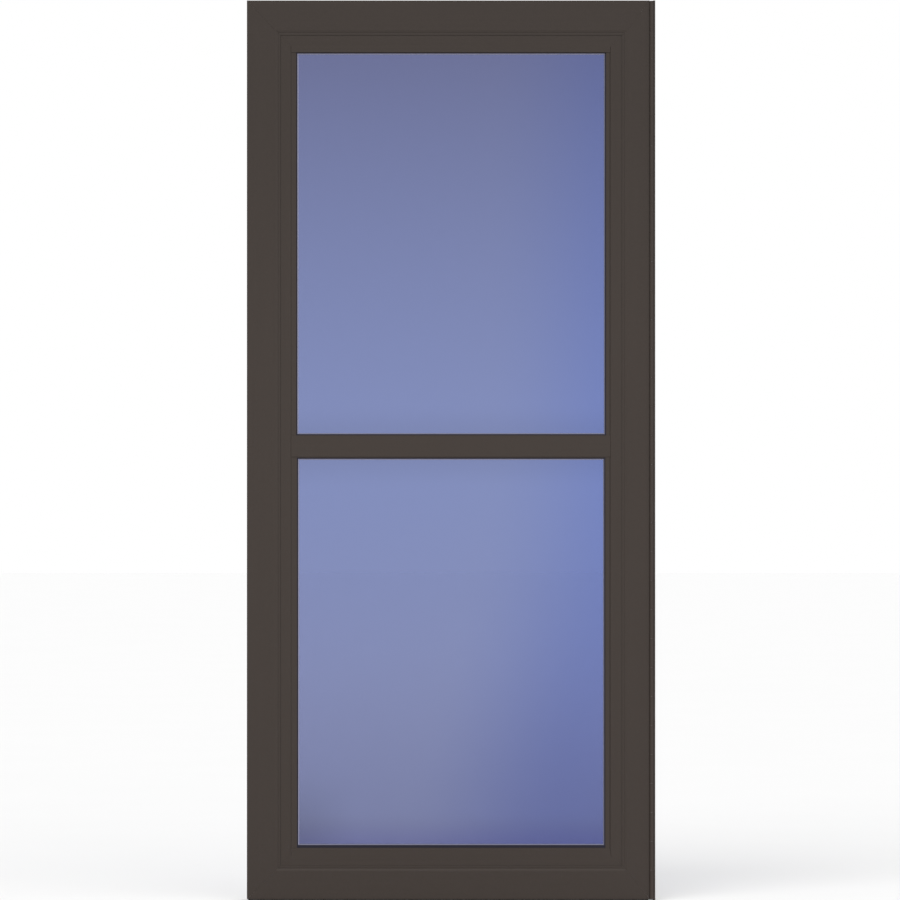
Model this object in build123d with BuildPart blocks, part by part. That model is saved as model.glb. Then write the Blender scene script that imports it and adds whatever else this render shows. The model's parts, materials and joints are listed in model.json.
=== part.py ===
# Full-view storm door with two panes, hung on its hinge rail by a continuous hinge.
#
# X runs across the door with the hinge on the right, Y runs through it with the outside at -Y, Z is up.
# The origin is on the outer side face of the hinge rail, level with the foot of the door
# and halfway through the door's thickness.

import os
from build123d import *

os.makedirs("parts", exist_ok=True)

# Overall size, in millimetres
door_width = 908.0
overall_height = 2028.8
door_thickness = 38.1
sweep_drop = 3.2

# Hollow frame members
frame_wall = 1.6
edge_round = 0.8
latch_flat = 63.8
hinge_flat = 51.0
top_flat = 66.8
bottom_flat = 62.6
tube_reach = 24.5
latch_lip_reach = 35.8
hinge_lip_reach = 37.6
rail_lip_reach = 50.4
lip_thickness = 1.4
lip_round = 0.7
web_setback = 10.0
mitre_gap = 0.2

# Moulding between the outer face and the inner face of the frame
face_step = 2.4
nose_width = 6.0
nose_drop = 1.2
nose_crown = 0.15
groove_width = 1.1
groove_depth = 1.8
bead_width = 4.2
bead_drop = 1.3
bead_side_drop = 1.5
inner_groove_width = 1.2
inner_groove_depth = 0.4

# Bar between the two panes
mid_rail_face = 47.8
mid_rail_stem = 14.4
mid_rail_height = 1023.8

# Removable sashes
sash_depth = 12.0
sash_wall = 1.3
upper_sash_stile = 21.7
lower_sash_stile = 23.3
sash_rail = 17.6
lower_sash_foot = 28.2
sash_groove_width = 2.0
sash_groove_depth = 0.8
sash_side_clearance = 1.2
upper_lift_clearance = 8.0
lower_lift_clearance = 1.0
glass_slot = 10.0

# Panes and their vinyl gaskets
glass_thickness = 3.2
gasket_base = 2.0
gasket_sight = 4.8
lower_gasket_foot = 8.4
gasket_chamfer = 2.4

# Retainer strips that hold the sashes from inside
retainer_width = 16.0
retainer_wall = 1.2
retainer_foot = 3.5
retainer_top = 5.0
retainer_setback = 1.6

# Continuous hinge
knuckle_radius = 3.8
leaf_thickness = 1.5
leaf_depth = 24.0
pin_radius = 1.6
pin_clearance = 0.15
pin_proud = 1.6
knuckle_count = 31
knuckle_gap = 0.4
notch_clearance = 0.6
hinge_foot_gap = 3.2
hinge_head_gap = 1.0
pin_setback = 1.0

# Hinge rail of Z section
rail_wall = 1.6
rail_lap = 3.2
rail_edge_round = 0.5
stop_gap = 8.0
stop_reach = 34.0
screw_radius = 2.5
screw_count = 6
screw_end_margin = 100.0
screw_depth_offset = 14.0

# Brush seal in the hinge rail
seal_base_width = 7.0
seal_base_thickness = 1.0
seal_brush_width = 4.6
seal_running_gap = 0.5
hook_thickness = 1.0
hook_overhang = 0.8
seal_fit = 0.1

# Corner keys inside the mitres
key_leg = 90.0
key_width = 20.0
key_fit = 0.3

# Sweep under the door
carrier_width = 36.0
carrier_thickness = 1.2
sweep_base_width = 30.0
sweep_base_thickness = 0.8
sweep_fin = 1.6
sweep_fin_count = 3
sweep_end_margin = 3.0

# Places that follow from the sizes
front = -door_thickness / 2
back = door_thickness / 2
inner_face = front + face_step
lip_back = inner_face + lip_thickness
hinge_gap = 2 * knuckle_radius
door_right = -rail_wall - hinge_gap
door_left = door_right - door_width
door_bottom = sweep_drop
door_top = overall_height
opening_left = door_left + latch_flat + tube_reach
opening_right = door_right - hinge_flat - tube_reach
opening_bottom = door_bottom + bottom_flat + tube_reach
opening_top = door_top - top_flat - tube_reach
latch_lip_x = door_left + latch_flat + latch_lip_reach
hinge_lip_x = door_right - hinge_flat - hinge_lip_reach
stem_top = mid_rail_height + mid_rail_stem / 2
stem_bottom = mid_rail_height - mid_rail_stem / 2
sash_back = lip_back + sash_depth
sash_middle = lip_back + sash_depth / 2
sash_left = opening_left + sash_side_clearance
sash_right = opening_right - sash_side_clearance
pin_x = -rail_wall - knuckle_radius
pin_y = front - pin_proud
hinge_bottom = hinge_foot_gap
hinge_top = overall_height - hinge_head_gap
hinge_length = hinge_top - hinge_bottom
knuckle_pitch = hinge_length / knuckle_count


# A box in the plane of the door, with the plane, length and mitre of the member on each side of it

mitre_overrun = 0.2


def side_plane(side, box):
    """Section plane of one member: x runs from its outer edge towards the glass, y into the house."""
    left, bottom, right, top = box
    planes = {
        "left": Plane((left, 0, bottom), x_dir=(1, 0, 0), z_dir=(0, 0, 1)),
        "right": Plane((right, 0, top), x_dir=(-1, 0, 0), z_dir=(0, 0, -1)),
        "top": Plane((left, 0, top), x_dir=(0, 0, -1), z_dir=(1, 0, 0)),
        "bottom": Plane((right, 0, bottom), x_dir=(0, 0, 1), z_dir=(-1, 0, 0)),
    }
    return planes[side]


def side_length(side, box):
    """Length of the member on one side of the box."""
    left, bottom, right, top = box
    return top - bottom if side in ("left", "right") else right - left


def plain_mitres(side, box, widths):
    """Outline of a mitred member seen from the front, run on past both edges by a share of its width."""
    left, bottom, right, top = box
    corners = {
        "left": (((left, bottom), (1, 1)), ((left, top), (1, -1))),
        "right": (((right, bottom), (-1, 1)), ((right, top), (-1, -1))),
        "top": (((left, top), (1, -1)), ((right, top), (-1, -1))),
        "bottom": (((left, bottom), (1, 1)), ((right, bottom), (-1, 1))),
    }
    outline = []
    for (x, z), (to_x, to_z) in corners[side]:
        across = to_x * (widths["left"] if to_x > 0 else widths["right"])
        along = to_z * (widths["bottom"] if to_z > 0 else widths["top"])
        outer = (x - mitre_overrun * across, z - mitre_overrun * along)
        inner = (x + (1 + mitre_overrun) * across, z + (1 + mitre_overrun) * along)
        outline.append((outer, inner))
    (first_outer, first_inner), (last_outer, last_inner) = outline
    return [first_outer, first_inner, last_inner, last_outer]


def make_member(name, side, box, section, outline):
    """One straight member: its section run along the side and cut to its outline."""
    with BuildPart() as member:
        with BuildSketch(side_plane(side, box)):
            add(section)
        extrude(amount=side_length(side, box))
        with BuildSketch(Plane.XZ):
            with BuildLine():
                Polyline(*outline, close=True)
            make_face()
        extrude(amount=door_thickness, both=True, mode=Mode.INTERSECT)
    member.part.label = name
    export_step(member.part, f"parts/{name}.step")


# Door frame: four hollow members with a moulded face, mitred at the corners

def frame_section(flat, lip_reach):
    """Two-celled tube with a beaded step on its face and a lip that the sashes lie against."""
    nose_end = flat + nose_width
    bead_start = nose_end + groove_width
    bead_end = bead_start + bead_width
    inner_start = bead_end + inner_groove_width
    tube_edge = flat + tube_reach
    lip_edge = flat + lip_reach
    web_edge = flat - web_setback
    deep_wall = inner_face + inner_groove_depth + frame_wall
    with BuildSketch() as section:
        with BuildLine():
            ThreePointArc(
                (flat, front),
                (flat + nose_width / 2, front + nose_drop / 2 - nose_crown),
                (nose_end, front + nose_drop),
            )
            Polyline(
                (nose_end, front + nose_drop),
                (nose_end, front + groove_depth),
                (bead_start, front + groove_depth),
                (bead_start, front + bead_side_drop),
            )
            ThreePointArc(
                (bead_start, front + bead_side_drop),
                (bead_start + bead_width / 2, front + bead_drop),
                (bead_end, front + bead_side_drop),
            )
            Polyline(
                (bead_end, front + bead_side_drop),
                (bead_end, inner_face + inner_groove_depth),
                (inner_start, inner_face + inner_groove_depth),
                (inner_start, inner_face),
                (lip_edge - lip_round, inner_face),
            )
            RadiusArc((lip_edge - lip_round, inner_face), (lip_edge, inner_face + lip_round), lip_round)
            Polyline(
                (lip_edge, inner_face + lip_round),
                (lip_edge, lip_back),
                (tube_edge, lip_back),
                (tube_edge, back),
                (edge_round, back),
            )
            RadiusArc((edge_round, back), (0, back - edge_round), -edge_round)
            Line((0, back - edge_round), (0, front + edge_round))
            RadiusArc((0, front + edge_round), (edge_round, front), -edge_round)
            Line((edge_round, front), (flat, front))
        make_face()
        with BuildLine():
            Polyline(
                (frame_wall, front + frame_wall),
                (web_edge - frame_wall, front + frame_wall),
                (web_edge - frame_wall, back - frame_wall),
                (frame_wall, back - frame_wall),
                close=True,
            )
        make_face(mode=Mode.SUBTRACT)
        with BuildLine():
            Polyline(
                (web_edge, front + frame_wall),
                (flat - frame_wall, front + frame_wall),
                (flat - frame_wall, deep_wall),
                (tube_edge - frame_wall, deep_wall),
                (tube_edge - frame_wall, back - frame_wall),
                (web_edge, back - frame_wall),
                close=True,
            )
        make_face(mode=Mode.SUBTRACT)
    return section.sketch


frame_box = (door_left, door_bottom, door_right, door_top)
past_edge = 10.0


def stile_outline(edge_x, inward, flat, lip_reach):
    """Front outline of a stile: mitred from each outer corner to the moulding and on at 45 degrees."""
    moulding_x = edge_x + inward * flat
    reach = lip_reach + past_edge
    return [
        (edge_x - inward * past_edge, door_bottom),
        (edge_x, door_bottom),
        (moulding_x, door_bottom + bottom_flat),
        (moulding_x + inward * reach, door_bottom + bottom_flat + reach),
        (moulding_x + inward * reach, door_top - top_flat - reach),
        (moulding_x, door_top - top_flat),
        (edge_x, door_top),
        (edge_x - inward * past_edge, door_top),
    ]


def rail_outline(edge_z, inward, flat):
    """Front outline of a rail: mitred a hair short of the stiles, its longer lip between theirs."""
    moulding_z = edge_z + inward * flat
    lip_z = moulding_z + inward * (rail_lip_reach + past_edge)
    start = door_left + mitre_gap
    end = door_right - mitre_gap
    return [
        (start, edge_z - inward * past_edge),
        (start, edge_z),
        (start + latch_flat, moulding_z),
        (latch_lip_x + mitre_gap, moulding_z + inward * latch_lip_reach),
        (latch_lip_x + mitre_gap, lip_z),
        (hinge_lip_x - mitre_gap, lip_z),
        (hinge_lip_x - mitre_gap, moulding_z + inward * hinge_lip_reach),
        (end - hinge_flat, moulding_z),
        (end, edge_z),
        (end, edge_z - inward * past_edge),
    ]


make_member(
    "latch_stile",
    "left",
    frame_box,
    frame_section(latch_flat, latch_lip_reach),
    stile_outline(door_left, 1, latch_flat, latch_lip_reach),
)
make_member(
    "hinge_stile",
    "right",
    frame_box,
    frame_section(hinge_flat, hinge_lip_reach),
    stile_outline(door_right, -1, hinge_flat, hinge_lip_reach),
)
make_member(
    "top_rail",
    "top",
    frame_box,
    frame_section(top_flat, rail_lip_reach),
    rail_outline(door_top, -1, top_flat),
)
make_member(
    "bottom_rail",
    "bottom",
    frame_box,
    frame_section(bottom_flat, rail_lip_reach),
    rail_outline(door_bottom, 1, bottom_flat),
)


# Corner keys: an angle in each mitre, inside the outer cell of the tubes

key_inset = frame_wall + key_fit
key_depth = door_thickness - 2 * key_inset

with BuildPart() as corner_keys:
    for corner_x, to_x in ((door_left, 1), (door_right, -1)):
        for corner_z, to_z in ((door_bottom, 1), (door_top, -1)):
            start_x = corner_x + to_x * key_inset
            start_z = corner_z + to_z * key_inset
            with BuildSketch(Plane.XZ):
                with BuildLine():
                    Polyline(
                        (start_x, start_z),
                        (start_x + to_x * key_leg, start_z),
                        (start_x + to_x * key_leg, start_z + to_z * key_width),
                        (start_x + to_x * key_width, start_z + to_z * key_width),
                        (start_x + to_x * key_width, start_z + to_z * key_leg),
                        (start_x, start_z + to_z * key_leg),
                        close=True,
                    )
                make_face()
            extrude(amount=key_depth / 2, both=True)
corner_keys.part.label = "corner_keys"
export_step(corner_keys.part, "parts/corner_keys.step")


# Bar between the panes: a face plate flush with the frame's inner face, on a hollow stem

mid_rail_plane = Plane((opening_left, 0, mid_rail_height), x_dir=(0, 1, 0), z_dir=(1, 0, 0))

with BuildPart() as mid_rail:
    with BuildSketch(mid_rail_plane) as mid_rail_section:
        with Locations(((inner_face + lip_back) / 2, 0)):
            Rectangle(lip_thickness, mid_rail_face)
        fillet(mid_rail_section.vertices().sort_by(Axis.X)[:2], lip_round)
        with Locations(((inner_face + back) / 2, 0)):
            Rectangle(back - inner_face, mid_rail_stem)
        with Locations(((lip_back + back - frame_wall) / 2, 0)):
            Rectangle(
                back - frame_wall - lip_back,
                mid_rail_stem - 2 * frame_wall,
                mode=Mode.SUBTRACT,
            )
    extrude(amount=opening_right - opening_left)
    with BuildSketch(Plane.XZ.offset(-lip_back)):
        with Locations(((opening_left + latch_lip_x) / 2, mid_rail_height)):
            Rectangle(latch_lip_x - opening_left, mid_rail_face)
        with Locations(((opening_right + hinge_lip_x) / 2, mid_rail_height)):
            Rectangle(opening_right - hinge_lip_x, mid_rail_face)
    extrude(amount=lip_thickness, mode=Mode.SUBTRACT)
mid_rail.part.label = "mid_rail"
export_step(mid_rail.part, "parts/mid_rail.step")


# Sashes: four channel members round each pane

def sash_section(width):
    """Small tube with a channel on its inner side that takes the glass in its gasket."""
    inside = sash_depth - 2 * sash_wall
    cell = width - glass_slot - 2 * sash_wall
    with BuildSketch() as section:
        with Locations((width / 2, sash_middle)):
            Rectangle(width, sash_depth)
        with Locations((sash_wall + cell / 2, sash_middle)):
            Rectangle(cell, inside, mode=Mode.SUBTRACT)
        with Locations((width - glass_slot / 2, sash_middle)):
            Rectangle(glass_slot, inside, mode=Mode.SUBTRACT)
    return section.sketch


sash_groove_start = hinge_lip_reach - tube_reach - sash_side_clearance


def grooved_sash_section(width):
    """The same section with a fine groove in its face, beside the edge of the hinge stile's lip."""
    with BuildSketch() as section:
        add(sash_section(width))
        with Locations((sash_groove_start + sash_groove_width / 2, lip_back + sash_groove_depth / 2)):
            Rectangle(sash_groove_width, sash_groove_depth, mode=Mode.SUBTRACT)
    return section.sketch


sashes = {
    "upper": {
        "box": (sash_left, stem_top, sash_right, opening_top - upper_lift_clearance),
        "stile": upper_sash_stile,
        "foot": sash_rail,
        "foot_sight": gasket_sight,
        "seat": (opening_left, stem_top, opening_right, opening_top),
    },
    "lower": {
        "box": (sash_left, opening_bottom, sash_right, stem_bottom - lower_lift_clearance),
        "stile": lower_sash_stile,
        "foot": lower_sash_foot,
        "foot_sight": lower_gasket_foot,
        "seat": (opening_left, opening_bottom, opening_right, stem_bottom),
    },
}

for level, sash in sashes.items():
    sash_widths = {
        "left": sash["stile"],
        "right": sash["stile"],
        "top": sash_rail,
        "bottom": sash["foot"],
    }
    for side, width in sash_widths.items():
        make_member(
            f"{level}_sash_{side}",
            side,
            sash["box"],
            grooved_sash_section(width) if side == "right" else sash_section(width),
            plain_mitres(side, sash["box"], sash_widths),
        )


# Panes and gaskets: the glass stands in a vinyl channel that shows as a thin line round it

gasket_depth = sash_depth - 2 * sash_wall
glass_bite = glass_slot - gasket_base

for level, sash in sashes.items():
    left, bottom, right, top = sash["box"]
    sight_width = right - left - 2 * sash["stile"]
    sight_height = top - bottom - sash_rail - sash["foot"]
    foot_sight = sash["foot_sight"]
    centre_x = (left + right) / 2
    centre_z = bottom + sash["foot"] + sight_height / 2
    pane_plane = Plane((centre_x, sash_middle, centre_z), x_dir=(1, 0, 0), z_dir=(0, -1, 0))

    with BuildPart() as glass:
        with BuildSketch(pane_plane):
            Rectangle(sight_width + 2 * glass_bite, sight_height + 2 * glass_bite)
        extrude(amount=glass_thickness / 2, both=True)
    glass.part.label = f"{level}_glass"
    export_step(glass.part, f"parts/{level}_glass.step")

    with BuildPart() as gasket:
        with BuildSketch(pane_plane):
            Rectangle(sight_width + 2 * glass_slot, sight_height + 2 * glass_slot)
            with Locations((0, (foot_sight - gasket_sight) / 2)):
                Rectangle(
                    sight_width - 2 * gasket_sight,
                    sight_height - gasket_sight - foot_sight,
                    mode=Mode.SUBTRACT,
                )
        extrude(amount=gasket_depth / 2, both=True)
        for ring in (gasket.faces().sort_by(Axis.Y)[0], gasket.faces().sort_by(Axis.Y)[-1]):
            chamfer(ring.inner_wires().edges(), gasket_chamfer)
        with BuildSketch(pane_plane):
            Rectangle(sight_width + 2 * glass_bite, sight_height + 2 * glass_bite)
        extrude(amount=glass_thickness / 2, both=True, mode=Mode.SUBTRACT)
    gasket.part.label = f"{level}_gasket"
    export_step(gasket.part, f"parts/{level}_gasket.step")


# Retainer strips: hollow beads that fill the corner between the frame and each sash

def retainer_section():
    """Bead with a sloping face, its foot on the sash and its side on the frame."""
    with BuildSketch() as section:
        with BuildLine():
            Polyline(
                (0, sash_back),
                (retainer_width, sash_back),
                (retainer_width, sash_back + retainer_foot),
                (retainer_top, back - retainer_setback),
                (0, back - retainer_setback),
                close=True,
            )
        make_face()
        offset(amount=-retainer_wall, kind=Kind.INTERSECTION, mode=Mode.SUBTRACT)
    return section.sketch


for level, sash in sashes.items():
    retainer_widths = {side: retainer_width for side in ("left", "right", "top", "bottom")}
    for side in retainer_widths:
        make_member(
            f"{level}_retainer_{side}",
            side,
            sash["seat"],
            retainer_section(),
            plain_mitres(side, sash["seat"], retainer_widths),
        )


# Continuous hinge: two leaves with interleaved knuckles on one pin

def make_leaf(name, side, first_knuckle):
    """One leaf. Side is +1 on the rail and -1 on the door, and every second knuckle is its own."""
    plate_x = pin_x + side * (knuckle_radius - leaf_thickness / 2)
    notch = knuckle_radius + notch_clearance
    web_depth = leaf_depth / 2
    levels = [
        hinge_bottom + index * knuckle_pitch + knuckle_gap / 2
        for index in range(first_knuckle, knuckle_count, 2)
    ]
    with BuildPart() as leaf:
        with BuildSketch(Plane.XY.offset(hinge_bottom)):
            with Locations((plate_x, pin_y + (notch + leaf_depth) / 2)):
                Rectangle(leaf_thickness, leaf_depth - notch)
        extrude(amount=hinge_length)
        with BuildSketch(*[Plane.XY.offset(level) for level in levels]):
            with Locations((plate_x, pin_y + web_depth / 2)):
                Rectangle(leaf_thickness, web_depth)
            with Locations((pin_x, pin_y)):
                Circle(knuckle_radius)
                Circle(pin_radius + pin_clearance, mode=Mode.SUBTRACT)
        extrude(amount=knuckle_pitch - knuckle_gap)
    leaf.part.label = name
    export_step(leaf.part, f"parts/{name}.step")


make_leaf("rail_hinge_leaf", 1, 0)
make_leaf("door_hinge_leaf", -1, 1)

with BuildPart() as hinge_pin:
    with BuildSketch(Plane.XY.offset(hinge_bottom + pin_setback)):
        with Locations((pin_x, pin_y)):
            Circle(pin_radius)
    extrude(amount=hinge_length - 2 * pin_setback)
hinge_pin.part.label = "hinge_pin"
export_step(hinge_pin.part, "parts/hinge_pin.step")


# Hinge rail: a Z section whose lip laps the trim and whose rear leg stops the door

stop_face = back + stop_gap
seal_slot = seal_base_width + 2 * seal_fit
seal_centre_x = -stop_reach + hook_thickness + seal_slot / 2
hook_height = seal_base_thickness + seal_fit + hook_thickness
hook_spread = (seal_slot + hook_thickness) / 2
hook_tip_spread = (seal_slot - hook_overhang) / 2
hook_tip_y = stop_face - hook_height + hook_thickness / 2

with BuildPart() as hinge_z_bar:
    with BuildSketch(Plane.XY):
        with BuildLine():
            Polyline(
                (rail_lap, front + rail_edge_round),
                (rail_lap, front + rail_wall),
                (0, front + rail_wall),
                (0, stop_face + rail_wall),
                (-stop_reach, stop_face + rail_wall),
                (-stop_reach, stop_face),
                (-rail_wall, stop_face),
                (-rail_wall, front),
                (rail_lap - rail_edge_round, front),
            )
            RadiusArc(
                (rail_lap - rail_edge_round, front),
                (rail_lap, front + rail_edge_round),
                rail_edge_round,
            )
        make_face()
        for side in (-1, 1):
            with Locations((seal_centre_x + side * hook_spread, stop_face - hook_height / 2)):
                Rectangle(hook_thickness, hook_height)
            with Locations((seal_centre_x + side * hook_tip_spread, hook_tip_y)):
                Rectangle(hook_overhang, hook_thickness)
    extrude(amount=overall_height)
    screw_plane = Plane((0, screw_depth_offset, overall_height / 2), x_dir=(0, 1, 0), z_dir=(1, 0, 0))
    screw_pitch = (overall_height - 2 * screw_end_margin) / (screw_count - 1)
    with Locations(screw_plane):
        with GridLocations(screw_pitch, screw_pitch, 1, screw_count):
            Hole(screw_radius)
hinge_z_bar.part.label = "hinge_z_bar"
export_step(hinge_z_bar.part, "parts/hinge_z_bar.step")

with BuildPart() as rail_brush_seal:
    with BuildSketch(Plane.XY):
        with Locations((seal_centre_x, stop_face - seal_base_thickness / 2)):
            Rectangle(seal_base_width, seal_base_thickness)
        brush_height = stop_gap - seal_base_thickness - seal_running_gap
        with Locations((seal_centre_x, stop_face - seal_base_thickness - brush_height / 2)):
            Rectangle(seal_brush_width, brush_height)
    extrude(amount=overall_height)
rail_brush_seal.part.label = "rail_brush_seal"
export_step(rail_brush_seal.part, "parts/rail_brush_seal.step")


# Sweep: an aluminium carrier under the bottom rail with a finned vinyl strip below it

sweep_length = door_width - 2 * sweep_end_margin
sweep_start = Plane(
    (door_left + sweep_end_margin, 0, door_bottom), x_dir=(0, 1, 0), z_dir=(1, 0, 0)
)

with BuildPart() as sweep_carrier:
    with BuildSketch(sweep_start):
        with Locations((0, -carrier_thickness / 2)):
            Rectangle(carrier_width, carrier_thickness)
    extrude(amount=sweep_length)
sweep_carrier.part.label = "sweep_carrier"
export_step(sweep_carrier.part, "parts/sweep_carrier.step")

fin_height = sweep_drop - carrier_thickness - sweep_base_thickness
fin_pitch = (sweep_base_width - sweep_fin) / (sweep_fin_count - 1)

with BuildPart() as door_sweep:
    with BuildSketch(sweep_start):
        with Locations((0, -carrier_thickness - sweep_base_thickness / 2)):
            Rectangle(sweep_base_width, sweep_base_thickness)
        with Locations((0, -sweep_drop + fin_height / 2)):
            with GridLocations(fin_pitch, fin_pitch, sweep_fin_count, 1):
                Rectangle(sweep_fin, fin_height)
    extrude(amount=sweep_length)
door_sweep.part.label = "door_sweep"
export_step(door_sweep.part, "parts/door_sweep.step")
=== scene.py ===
# Looks of the full-view storm door: its finishes, fasteners and brush pile, with the floor, light and camera.
#
# Metres, in the door's own frame: X runs across the door with the hinge on the right, the outside is at -Y
# and Z is up. The origin is at the foot of the hinge rail.

import json
import math
import random

import bmesh
import bpy
from mathutils import Matrix, Vector


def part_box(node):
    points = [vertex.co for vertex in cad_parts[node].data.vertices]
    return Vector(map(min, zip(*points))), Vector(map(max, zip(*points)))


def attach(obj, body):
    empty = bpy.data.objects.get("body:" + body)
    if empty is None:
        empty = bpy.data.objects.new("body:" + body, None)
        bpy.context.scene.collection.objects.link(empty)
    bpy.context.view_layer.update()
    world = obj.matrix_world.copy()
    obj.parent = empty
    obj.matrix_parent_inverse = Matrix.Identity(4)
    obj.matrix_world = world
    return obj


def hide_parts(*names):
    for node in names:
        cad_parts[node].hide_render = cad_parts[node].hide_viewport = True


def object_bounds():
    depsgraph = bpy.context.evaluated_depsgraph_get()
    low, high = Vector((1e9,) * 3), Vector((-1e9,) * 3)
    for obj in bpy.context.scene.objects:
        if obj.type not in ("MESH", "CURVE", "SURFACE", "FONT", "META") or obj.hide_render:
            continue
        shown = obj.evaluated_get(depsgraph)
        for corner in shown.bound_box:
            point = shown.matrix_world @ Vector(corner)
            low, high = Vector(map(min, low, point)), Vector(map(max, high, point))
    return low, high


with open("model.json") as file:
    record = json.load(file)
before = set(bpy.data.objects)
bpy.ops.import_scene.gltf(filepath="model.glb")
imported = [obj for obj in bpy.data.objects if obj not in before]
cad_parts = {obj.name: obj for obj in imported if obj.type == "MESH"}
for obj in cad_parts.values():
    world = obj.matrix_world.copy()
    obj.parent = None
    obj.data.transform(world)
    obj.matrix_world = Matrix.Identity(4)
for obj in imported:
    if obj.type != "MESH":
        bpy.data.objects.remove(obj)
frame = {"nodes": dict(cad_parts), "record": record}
cad_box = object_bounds()

# Where the door stands in the photograph, in pixels of its frame
photo_size = 900
door_left_pixel = 246.9
door_top_pixel = 0.4
door_foot_pixel = 900.5

# The long lens
lens_length = 0.2
sensor_width = 0.036

# Colours, as linear light
coat_brown = (0.0412, 0.0312, 0.0257, 1)
hinge_brown = (0.0420, 0.0312, 0.0255, 1)
# Sweep carrier: partly a deeper brown of its own, partly painted shade for the shadow line at the door's foot
carrier_shaded_brown = (0.031, 0.0235, 0.019, 1)
# The glass's tint with a painted reflection, lit at mid-height and shaded away from it, and painted shades
# laid over it
glass_lit_blue = (0.196, 0.243, 0.483, 1)
glass_shaded_blue = (0.116, 0.133, 0.282, 1)
glass_low_shade = (1.05, 0.986, 0.925, 1)
glass_foot_shade = (0.97, 0.975, 1.17, 1)
glass_side_shade = (0.71, 0.81, 1.04, 1)
glass_low_side_shade = (0.62, 0.68, 0.92, 1)
vinyl_grey = (0.235, 0.235, 0.325, 1)
# Black of the glazing vinyl's edge: partly the vinyl's own colour, partly painted shade for the shadow line
# beside the sash
vinyl_shadow_black = (0.012, 0.011, 0.022, 1)
vinyl_black = (0.008, 0.008, 0.009, 1)
pile_dark = (0.012, 0.011, 0.010, 1)
pile_light = (0.045, 0.041, 0.038, 1)
steel_grey = (0.46, 0.46, 0.47, 1)
aluminium_grey = (0.62, 0.62, 0.63, 1)
floor_pale = (0.60, 0.60, 0.60, 1)
white = (1, 1, 1, 1)

# Stretch of the patterns that run along a member
along = {
    "upright": (1, 1, 0.01),
    "level": (0.01, 1, 1),
}

# Heights between which painted shade darkens the coat towards the head
coat_shade_start_z = 1.2
coat_shade_full_z = 1.9

# Height at which the glass's painted reflection is brightest, and the heights where its painted shades begin
# and are full
reflection_peak_z = 0.967
low_shade_z = (0.62, 0.03)
low_tint_z = (1.0, 0.35)
low_side_z = (1.0, 0.1)
corner_shade_z = (0.32, 0.13)

# How far the glass's painted shades reach from its foot and from the middle rail
foot_shade_reach = 0.092
foot_blue_reach = 0.07
rail_shade_reach = (0.10, 0.02)

# Where the painted shades of the two sides begin and are full, as shares of the glass's width
hinge_side_share = (0.60, 1.13)
latch_corner_share = (0.22, 0.0)

# Depth of the vinyl's black edge behind its face, and the step from black to grey
vinyl_edge_depth = 0.0001
vinyl_edge_step = 0.0002

# Light levels
room_level = 0.60
floor_glow = 0.21

# Soft suns: the way each shines, its level, and its spread in degrees
suns = {
    "key": ((0.35, 0.60, -0.72), 0.26, 40),
    "side": ((-0.62, 0.64, -0.45), 0.14, 60),
    "fill": ((-0.35, -0.62, -0.70), 0.24, 60),
}

# Reach of the floor from its middle
floor_reach = 30

# Fasteners of the hinge leaves
leaf_screw_radius = 0.0033
leaf_screw_height = 0.0012
leaf_screw_count = 12
leaf_screw_turn = 1.9
leaf_screw_inset_share = 0.4

# Pile of the hinge rail's seal
pile_base_height = 0.001
pile_width = 0.0046
pile_rows = 5
pile_patches = 40
pile_seed = 7
hair_root_radius = 0.000308
hair_tip_radius = 0.000132
hair_pitch = 0.0011
hair_reach = (0.88, 0.99)
hair_lean = 0.06
hair_scatter = 0.2


class Wire:
    """An output in a material's nodes. Arithmetic on it adds Math nodes, and node() adds any other node."""

    def __init__(self, tree, socket=None):
        self.tree = tree
        self.socket = socket

    def node(self, kind, settings=None, sockets=None, output=0):
        """A new node: settings first, then its sockets' values or links. Gives one of its outputs."""
        made = self.tree.nodes.new(kind)
        for name, value in (settings or {}).items():
            setattr(made, name, value)
        for name, value in (sockets or {}).items():
            if isinstance(value, Wire):
                self.tree.links.new(value.socket, made.inputs[name])
            else:
                made.inputs[name].default_value = value
        return Wire(self.tree, made.outputs[output] if made.outputs else None)

    def math(self, operation, first, second=0.0):
        return self.node("ShaderNodeMath", {"operation": operation}, {0: first, 1: second})

    def __add__(self, other):
        return self.math("ADD", self, other)

    def __radd__(self, other):
        return self.math("ADD", other, self)

    def __sub__(self, other):
        return self.math("SUBTRACT", self, other)

    def __rsub__(self, other):
        return self.math("SUBTRACT", other, self)

    def __mul__(self, other):
        return self.math("MULTIPLY", self, other)

    def __rmul__(self, other):
        return self.math("MULTIPLY", other, self)

    def __truediv__(self, other):
        return self.math("DIVIDE", self, other)

    def __pow__(self, other):
        return self.math("POWER", self, other)

    def __abs__(self):
        return self.math("ABSOLUTE", self)


# Patterns on a surface

def new_material(name):
    """A material without nodes, and the wire that its first nodes come from."""
    material = bpy.data.materials.new(name)
    material.use_nodes = True
    material.node_tree.nodes.clear()
    return material, Wire(material.node_tree)


def object_place(wire):
    """The point on the piece, in metres."""
    return wire.node("ShaderNodeTexCoord", output="Object")


def axis_of(place, axis):
    """One coordinate of a point."""
    return place.node("ShaderNodeSeparateXYZ", {}, {"Vector": place}, output=axis)


def noise(place, size, detail=2.0, stretch=(1, 1, 1)):
    """Soft noise about 0, with features of about that size."""
    turned = place.node("ShaderNodeMapping", {}, {"Vector": place, "Scale": stretch})
    sockets = {"Vector": turned, "Scale": 1 / size, "Detail": detail}
    return place.node("ShaderNodeTexNoise", {}, sockets) - 0.5


def smooth_step(value, start, end):
    """0 before start, 1 past end, and a soft rise between them."""
    sockets = {"Value": value, "From Min": start, "From Max": end}
    return value.node("ShaderNodeMapRange", {"interpolation_type": "SMOOTHSTEP"}, sockets)


def clipped(value):
    """A value kept between 0 and 1."""
    return value.node("ShaderNodeClamp", {}, {"Value": value})


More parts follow.
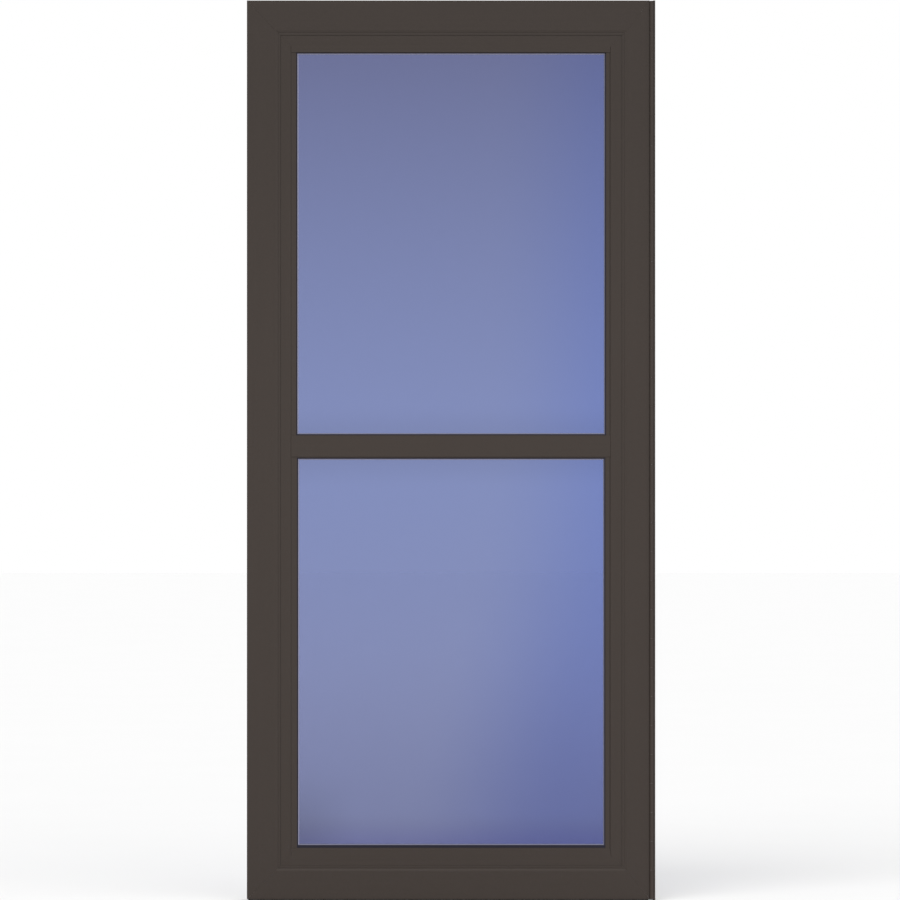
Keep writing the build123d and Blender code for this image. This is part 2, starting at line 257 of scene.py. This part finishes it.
def mixed(factor, first, second):
    """A colour between two colours."""
    sockets = {"Factor": factor, 6: first, 7: second}
    return factor.node("ShaderNodeMix", {"data_type": "RGBA"}, sockets, output=2)


def scaled(colour, factor):
    """A named colour made lighter or darker."""
    return factor.node("ShaderNodeVectorMath", {"operation": "SCALE"}, {0: colour[:3], "Scale": factor})


def multiplied(first, second):
    """The product of two colours, or of a colour and a value."""
    return first.node("ShaderNodeVectorMath", {"operation": "MULTIPLY"}, {0: first, 1: second})


def bumped(height, distance, strength=1.0):
    """A normal raised by a height."""
    sockets = {"Height": height, "Distance": distance, "Strength": strength}
    return height.node("ShaderNodeBump", {}, sockets)


def finish_with(wire, sockets):
    """Ends a material in one Principled shader."""
    shader = wire.node("ShaderNodeBsdfPrincipled", {}, sockets)
    wire.node("ShaderNodeOutputMaterial", {}, {"Surface": shader})


# Finishes of the door

def powder_coat(name, colour, grain):
    """Satin brown coat on an extrusion, with painted shade darkening it towards the head, flecks, orange peel
    and drawing lines.
    """
    material, wire = new_material(name)
    place = object_place(wire)
    # Painted shade: the coat is made darker towards the head, where less light falls, with a random tone on
    # top
    head_shade = smooth_step(axis_of(place, "Z"), coat_shade_start_z, coat_shade_full_z)
    painted_light_and_tone = 1.04 - 0.12 * head_shade + 0.04 * noise(place, 0.7, detail=1.0)
    fleck = noise(place, 0.0035, detail=3.0)
    peel = noise(place, 0.0022)
    drawn = noise(place, 0.006, stretch=along[grain])
    finish_with(wire, {
        "Base Color": scaled(colour, painted_light_and_tone + fleck * 0.22 + drawn * 0.10),
        "Roughness": 0.46 + fleck * 0.20 + drawn * 0.14,
        "Specular IOR Level": 0.25,
        "Normal": bumped(peel + drawn * 0.6, 0.00014, strength=0.8),
    })
    return material


def tinted_glass():
    """Tinted glass whose blue carries a painted reflection, brightest at mid-height, and painted shade to its
    head, foot, sides and middle rail.
    """
    material, wire = new_material("tinted_glass")
    place = object_place(wire)
    up = axis_of(place, "Z")
    foot_corner, far_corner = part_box("lower_glass")
    foot_z = foot_corner.z
    head_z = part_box("upper_glass")[1].z
    rail_z = sum(corner.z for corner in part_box("mid_rail")) / 2
    share = (axis_of(place, "X") - foot_corner.x) / (far_corner.x - foot_corner.x)

    # Painted reflection: brightest at mid-height, fading towards the head, lower down and at the foot
    clear = 1 - clipped((up - reflection_peak_z) / (head_z - reflection_peak_z)) ** 1.4
    clear = clear * (1 - 0.54 * smooth_step(up, *low_shade_z))
    clear = clear * (1 - 0.85 * smooth_step(up, foot_z + foot_shade_reach, foot_z))
    tint_and_painted_light = mixed(clear, glass_shaded_blue, glass_lit_blue)

    # Painted shade towards the hinge side, spreading wider lower down, and painted colour shifts low down and
    # at the foot
    blue_foot = smooth_step(up, foot_z + foot_blue_reach, foot_z)
    low = smooth_step(up, *low_side_z)
    side = smooth_step(share + 0.27 * low, *hinge_side_share)
    tint_and_painted_light = multiplied(tint_and_painted_light, mixed(smooth_step(up, *low_tint_z), white, glass_low_shade))
    tint_and_painted_light = multiplied(tint_and_painted_light, mixed(blue_foot, white, glass_foot_shade))
    tint_and_painted_light = multiplied(tint_and_painted_light, mixed(side, white, mixed(low, glass_side_shade, glass_low_side_shade)))

    # Painted shade in the latch side's foot corner and beside the middle rail
    corner_shade_mask = smooth_step(up, *corner_shade_z) * smooth_step(share, *latch_corner_share)
    rail_shade_mask = smooth_step(abs(up - rail_z), *rail_shade_reach)
    shade = (1 - 0.23 * corner_shade_mask) * (1 - 0.11 * rail_shade_mask)
    wave = noise(place, 0.35, detail=1.0)
    finish_with(wire, {
        "Base Color": multiplied(tint_and_painted_light, shade),
        "Roughness": 0.015 + 0.01 * noise(place, 0.02),
        "IOR": 1.5,
        "Transmission Weight": 1.0,
        "Normal": bumped(wave, 0.0004, strength=0.3),
    })
    return material


def vinyl(name, colour, size):
    """Matt extruded vinyl with a fine skin."""
    material, wire = new_material(name)
    place = object_place(wire)
    skin = noise(place, size, detail=3.0)
    bloom = noise(place, 0.05)
    finish_with(wire, {
        "Base Color": scaled(colour, 1 + bloom * 0.25 + skin * 0.2),
        "Roughness": 0.62 + skin * 0.2,
        "Specular IOR Level": 0.25,
        "Normal": bumped(skin, 0.00005, strength=0.6),
    })
    return material


def glazing_vinyl():
    """The vinyl round each pane: black at its edge, partly painted shade; its sloped lip grey, with painted
    light palest facing the hinge side.
    """
    material, wire = new_material("glazing_vinyl")
    place = object_place(wire)
    facing = wire.node("ShaderNodeTexCoord", output="Normal")
    low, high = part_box("upper_gasket")
    from_middle = abs(axis_of(place, "Y") - (low.y + high.y) / 2)
    half = (high.y - low.y) / 2
    edge = half - vinyl_edge_depth
    # The black edge stands partly as painted shade for the shadow line beside the sash
    lip = smooth_step(from_middle, edge, edge - vinyl_edge_step)
    skin = noise(place, 0.0012, detail=3.0)
    # Painted light: the grey lip is lighter where it faces the hinge side and darker where it faces up, with
    # the skin's random tone on top
    painted_light_and_tone = 1 + 0.5 * axis_of(facing, "X") - 0.4 * axis_of(facing, "Z") + skin * 0.2
    finish_with(wire, {
        "Base Color": mixed(lip, scaled(vinyl_shadow_black, 1 + skin * 0.2), scaled(vinyl_grey, painted_light_and_tone)),
        "Roughness": 0.62 + skin * 0.2,
        "Specular IOR Level": 0.25,
        "Normal": bumped(skin, 0.00005, strength=0.6),
    })
    return material


def brush_pile():
    """Dark polypropylene pile with hairs of uneven tone."""
    material, wire = new_material("brush_pile")
    place = object_place(wire)
    hair = noise(place, 0.0006, stretch=(1, 0.05, 1))
    finish_with(wire, {
        "Base Color": mixed(0.5 + hair * 1.6, pile_dark, pile_light),
        "Roughness": 0.8 + hair * 0.2,
        "Sheen Weight": 0.2,
    })
    return material


def bare_metal(name, colour, roughness, grain):
    """Uncoated metal with fine lines along its length."""
    material, wire = new_material(name)
    place = object_place(wire)
    lines = noise(place, 0.0008, detail=3.0, stretch=along[grain])
    cloud = noise(place, 0.03)
    finish_with(wire, {
        "Base Color": scaled(colour, 1 + lines * 0.2 + cloud * 0.2),
        "Roughness": roughness + lines * 0.2 + cloud * 0.1,
        "Metallic": 1.0,
        "Normal": bumped(lines, 0.00004, strength=0.5),
    })
    return material


def finish_nodes():
    """Gives every CAD node its own finish or that of its slot, its grain along the way it runs."""
    coats = {grain: powder_coat(f"brown_coat_{grain}", coat_brown, grain) for grain in along}
    finishes = {
        "brown_hinge": powder_coat("hinge_coat", hinge_brown, "upright"),
        # The sweep carrier's coat is darkened as painted shade for the shadow line at the door's foot
        "sweep_carrier": powder_coat("carrier_shaded_coat", carrier_shaded_brown, "level"),
        "tinted_glass": tinted_glass(),
        "grey_vinyl": glazing_vinyl(),
        "black_vinyl": vinyl("black_vinyl", vinyl_black, 0.0015),
        "brush_pile": brush_pile(),
        "hinge_steel": bare_metal("hinge_steel", steel_grey, 0.32, "upright"),
        "mill_aluminium": bare_metal("mill_aluminium", aluminium_grey, 0.38, "level"),
    }
    for part in frame["record"]["subparts"]:
        low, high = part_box(part["node"])
        grain = "upright" if high.z - low.z > high.x - low.x else "level"
        finish = finishes.get(part["node"]) or finishes.get(part["material_slot"], coats[grain])
        node = frame["nodes"][part["node"]]
        for slot in node.material_slots:
            slot.material = finish
    return finishes


# Small pieces

def make_piece(name, mesh, material, body):
    """Turns a finished bmesh into a piece that rides on its body."""
    data = bpy.data.meshes.new(name)
    mesh.to_mesh(data)
    mesh.free()
    data.materials.append(material)
    piece = bpy.data.objects.new(name, data)
    bpy.context.scene.collection.objects.link(piece)
    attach(piece, body)
    return piece


def add_screw_head(mesh, radius, height, place):
    """A low head with a cross recess: a squared web in its middle, sunk, joined to its round rim."""
    recess = 0.55 * radius
    arm = 0.16 * radius
    crown = 0.86 * radius
    crown_drop = 0.35 * height
    recess_depth = 0.6 * height
    web = bmesh.ops.create_grid(mesh, x_segments=3, y_segments=3, size=recess)["verts"]
    for corner in web:
        for axis in range(2):
            if abs(corner.co[axis]) < 0.9 * recess:
                corner.co[axis] = math.copysign(arm, corner.co[axis])
    web_faces = {face for corner in web for face in corner.link_faces}
    sunk = [face for face in web_faces if min(abs(c) for c in face.calc_center_median().xy) < 0.5 * arm]
    web_rim = {edge for face in web_faces for edge in face.edges if edge.is_boundary}

    rim = bmesh.ops.create_circle(mesh, segments=12, radius=crown)["verts"]
    bmesh.ops.rotate(mesh, verts=rim, matrix=Matrix.Rotation(math.radians(15), 3, "Z"))
    rim_edges = list({edge for corner in rim for edge in corner.link_edges})
    bmesh.ops.bridge_loops(mesh, edges=list(web_rim) + rim_edges)

    shoulder = bmesh.ops.extrude_edge_only(mesh, edges=rim_edges)["geom"]
    shoulder_verts = [item for item in shoulder if isinstance(item, bmesh.types.BMVert)]
    shoulder_edges = [item for item in shoulder if isinstance(item, bmesh.types.BMEdge)]
    bmesh.ops.scale(mesh, vec=(radius / crown, radius / crown, 1), verts=shoulder_verts)
    bmesh.ops.translate(mesh, vec=(0, 0, -crown_drop), verts=shoulder_verts)
    skirt = bmesh.ops.extrude_edge_only(mesh, edges=shoulder_edges)["geom"]
    skirt_verts = [item for item in skirt if isinstance(item, bmesh.types.BMVert)]
    bmesh.ops.translate(mesh, vec=(0, 0, crown_drop - height), verts=skirt_verts)

    bottom = bmesh.ops.extrude_face_region(mesh, geom=sunk)["geom"]
    bottom_verts = [item for item in bottom if isinstance(item, bmesh.types.BMVert)]
    bmesh.ops.translate(mesh, vec=(0, 0, -recess_depth), verts=bottom_verts)

    head = {corner for corner in web + rim + shoulder_verts + skirt_verts + bottom_verts if corner.is_valid}
    bmesh.ops.translate(mesh, vec=(0, 0, height), verts=list(head))
    bmesh.ops.transform(mesh, matrix=place, verts=list(head))


def add_leaf_screws(leaf, name, side, body, material):
    """The screws in one hinge leaf, heads towards the other. Side is 1 for the rail's, -1 for the door's."""
    low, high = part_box(leaf)
    face_x = low.x if side > 0 else high.x
    plate_low, plate_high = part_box("rail_hinge_leaf")
    row_y = plate_high.y - leaf_screw_inset_share * (plate_high.y - plate_low.y)
    pitch = (high.z - low.z) / leaf_screw_count
    mesh = bmesh.new()
    facing = Matrix.Rotation(math.radians(-90 * side), 4, "Y")
    for index in range(leaf_screw_count):
        place = Vector((face_x, row_y, low.z + (index + 0.5) * pitch))
        turn = Matrix.Rotation(index * leaf_screw_turn, 4, "Z")
        add_screw_head(mesh, leaf_screw_radius, leaf_screw_height, Matrix.Translation(place) @ facing @ turn)
    bmesh.ops.recalc_face_normals(mesh, faces=mesh.faces)
    return make_piece(name, mesh, material, body)


def add_brush_seal(material):
    """The hinge rail's seal: its woven base, and rows of leaning hairs that run its whole length."""
    low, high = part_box("rail_brush_seal")
    centre_x = (low.x + high.x) / 2
    patch_length = (high.z - low.z) / pile_patches
    chance = random.Random(pile_seed)
    mesh = bmesh.new()
    base = bmesh.ops.create_cube(mesh, size=1)["verts"]
    bmesh.ops.scale(mesh, vec=(high.x - low.x, pile_base_height, patch_length), verts=base)
    bmesh.ops.translate(
        mesh,
        vec=(centre_x, high.y - pile_base_height / 2, low.z + patch_length / 2),
        verts=base,
    )
    hair_length = high.y - pile_base_height - low.y
    hairs_in_row = round(patch_length / hair_pitch)
    for row in range(pile_rows):
        for index in range(hairs_in_row):
            length = hair_length * chance.uniform(*hair_reach)
            hair = bmesh.ops.create_cone(
                mesh,
                segments=4,
                radius1=hair_root_radius,
                radius2=hair_tip_radius,
                depth=length,
            )["verts"]
            lean_x = Matrix.Rotation(chance.uniform(-hair_lean, hair_lean), 4, "X")
            lean_z = Matrix.Rotation(chance.uniform(-hair_lean, hair_lean), 4, "Z")
            level = Matrix.Rotation(math.radians(90), 4, "X")
            across = row + 0.5 + chance.uniform(-hair_scatter, hair_scatter)
            up = index + 0.5 + chance.uniform(-hair_scatter, hair_scatter)
            middle = Vector((
                centre_x + pile_width * (across / pile_rows - 0.5),
                high.y - pile_base_height - length / 2,
                low.z + patch_length * up / hairs_in_row,
            ))
            place = Matrix.Translation(middle) @ lean_z @ lean_x @ level
            bmesh.ops.transform(mesh, matrix=place, verts=hair)
    seal = make_piece("brush_seal", mesh, material, "hinge_rail")
    row_of = seal.modifiers.new("length", "ARRAY")
    row_of.count = pile_patches
    row_of.use_relative_offset = False
    row_of.use_constant_offset = True
    row_of.constant_offset_displace = (0, 0, patch_length)
    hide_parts("rail_brush_seal")
    return seal


# Floor, light and camera

def seen_rays(wire):
    """1 for what the camera sees straight, in a reflection or through glass."""
    path = "ShaderNodeLightPath"
    straight = wire.node(path, output="Is Camera Ray")
    mirrored = wire.node(path, output="Is Glossy Ray")
    through = wire.node(path, output="Is Transmission Ray")
    return wire.math("MAXIMUM", wire.math("MAXIMUM", straight, mirrored), through)


def add_floor():
    """A pale floor that shows white past the door's soft shadow."""
    mesh = bmesh.new()
    bmesh.ops.create_grid(mesh, x_segments=1, y_segments=1, size=floor_reach)
    data = bpy.data.meshes.new("floor")
    mesh.to_mesh(data)
    mesh.free()
    material, wire = new_material("pale_floor")
    grain = noise(object_place(wire), 0.4)
    paint = wire.node("ShaderNodeBsdfDiffuse", {}, {"Color": scaled(floor_pale, 1 + grain * 0.02)})
    glow = wire.node("ShaderNodeEmission", {}, {"Color": white, "Strength": floor_glow})
    bright = wire.node("ShaderNodeAddShader", {}, {0: paint, 1: glow})
    shown = wire.node("ShaderNodeMixShader", {}, {0: seen_rays(wire), 1: paint, 2: bright})
    wire.node("ShaderNodeOutputMaterial", {}, {"Surface": shown})
    data.materials.append(material)
    floor = bpy.data.objects.new("floor", data)
    bpy.context.scene.collection.objects.link(floor)


def add_world():
    """Even light from all round, in front of a white ground."""
    world = bpy.data.worlds.new("studio")
    bpy.context.scene.world = world
    world.use_nodes = True
    world.node_tree.nodes.clear()
    wire = Wire(world.node_tree)
    room = wire.node("ShaderNodeBackground", {}, {"Color": white, "Strength": room_level})
    ground = wire.node("ShaderNodeBackground", {}, {"Color": white, "Strength": 1.0})
    shown = wire.node("ShaderNodeMixShader", {}, {0: seen_rays(wire), 1: room, 2: ground})
    wire.node("ShaderNodeOutputWorld", {}, {"Surface": shown})


def add_soft_sun(name, towards, level, spread):
    """Wide parallel light from one side. Level is how bright it leaves a white sheet in the door's plane."""
    ray = Vector(towards).normalized()
    lamp = bpy.data.lights.new(name, "SUN")
    lamp.angle = math.radians(spread)
    lamp.energy = math.pi * level / abs(ray.y)
    sun = bpy.data.objects.new(name, lamp)
    sun.rotation_euler = ray.to_track_quat("-Z", "Y").to_euler()
    bpy.context.scene.collection.objects.link(sun)


def add_camera():
    """A level camera square to the outside, with the door's full height in the picture."""
    low, high = cad_box
    pixel = (high.z - low.z) / (door_foot_pixel - door_top_pixel)
    distance = photo_size * pixel * lens_length / sensor_width
    camera = bpy.data.cameras.new("camera")
    camera.lens = lens_length * 1000
    camera.sensor_width = sensor_width * 1000
    camera.clip_end = 200
    view = bpy.data.objects.new("camera", camera)
    view.location = (
        low.x + (photo_size / 2 - door_left_pixel) * pixel,
        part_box("latch_stile")[0].y - distance,
        high.z - (photo_size / 2 - door_top_pixel) * pixel,
    )
    view.rotation_euler = (math.radians(90), 0, 0)
    bpy.context.scene.collection.objects.link(view)
    bpy.context.scene.camera = view


finishes = finish_nodes()
add_leaf_screws("rail_hinge_leaf", "rail_leaf_screws", 1, "hinge_rail", finishes["hinge_steel"])
add_leaf_screws("door_hinge_leaf", "door_leaf_screws", -1, "door", finishes["hinge_steel"])
add_brush_seal(finishes["brush_pile"])

add_floor()
add_world()
for name, (towards, level, spread) in suns.items():
    add_soft_sun(name, towards, level, spread)
add_camera()

bpy.context.scene.view_settings.view_transform = "Standard"
